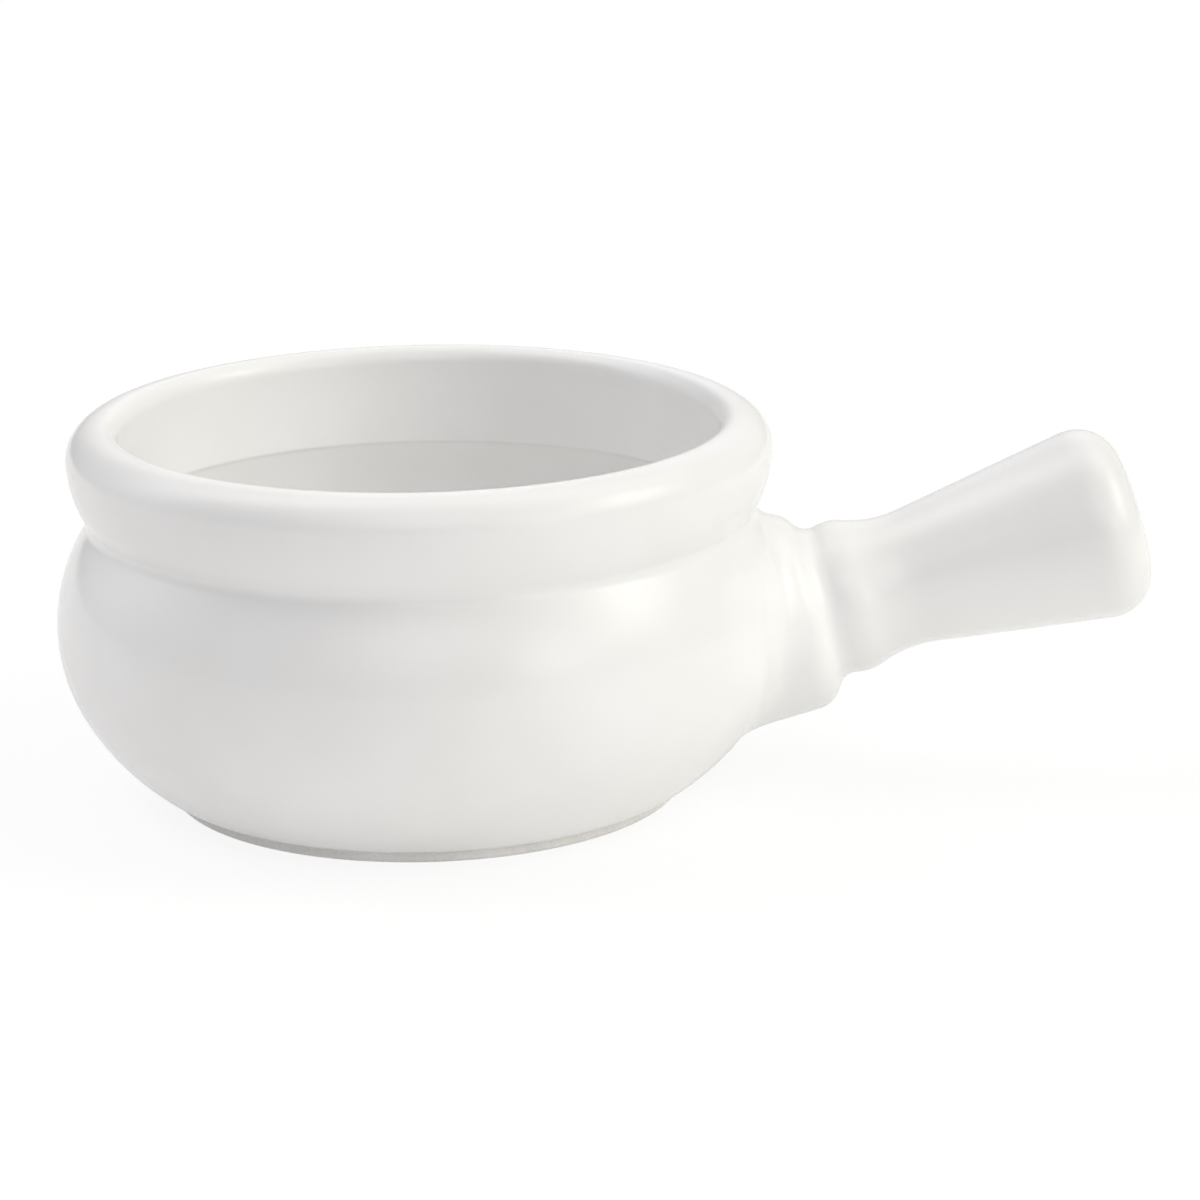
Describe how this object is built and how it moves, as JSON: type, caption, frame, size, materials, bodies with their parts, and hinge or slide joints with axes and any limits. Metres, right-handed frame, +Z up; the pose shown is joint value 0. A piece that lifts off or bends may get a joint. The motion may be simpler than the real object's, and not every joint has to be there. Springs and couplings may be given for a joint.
{
  "type": "handled soup crock",
  "caption": "Round-bellied glazed soup crock with a rolled rim, an inner lip, a bare foot ring and a hollow stick handle rising from one side, for baking and serving onion soup.",
  "frame": {"origin": "centre of the foot ring, on the table and on the bowl's own axis", "axes": "+Z up along the bowl's axis, +X out along the handle seen from above"},
  "size_m": [0.192, 0.128, 0.0664],
  "materials": {
    "fired_body": "fired, matt and bare",
    "slip": "fired under glaze, glossy",
    "glaze": "glossy white glaze"
  },
  "bodies": {
    "root": {"bowl": "fired_body", "handle": "fired_body", "luting_slip": "slip", "outer_glaze": "glaze", "inner_glaze": "glaze", "handle_glaze": "glaze"}
  },
  "joints": []
}
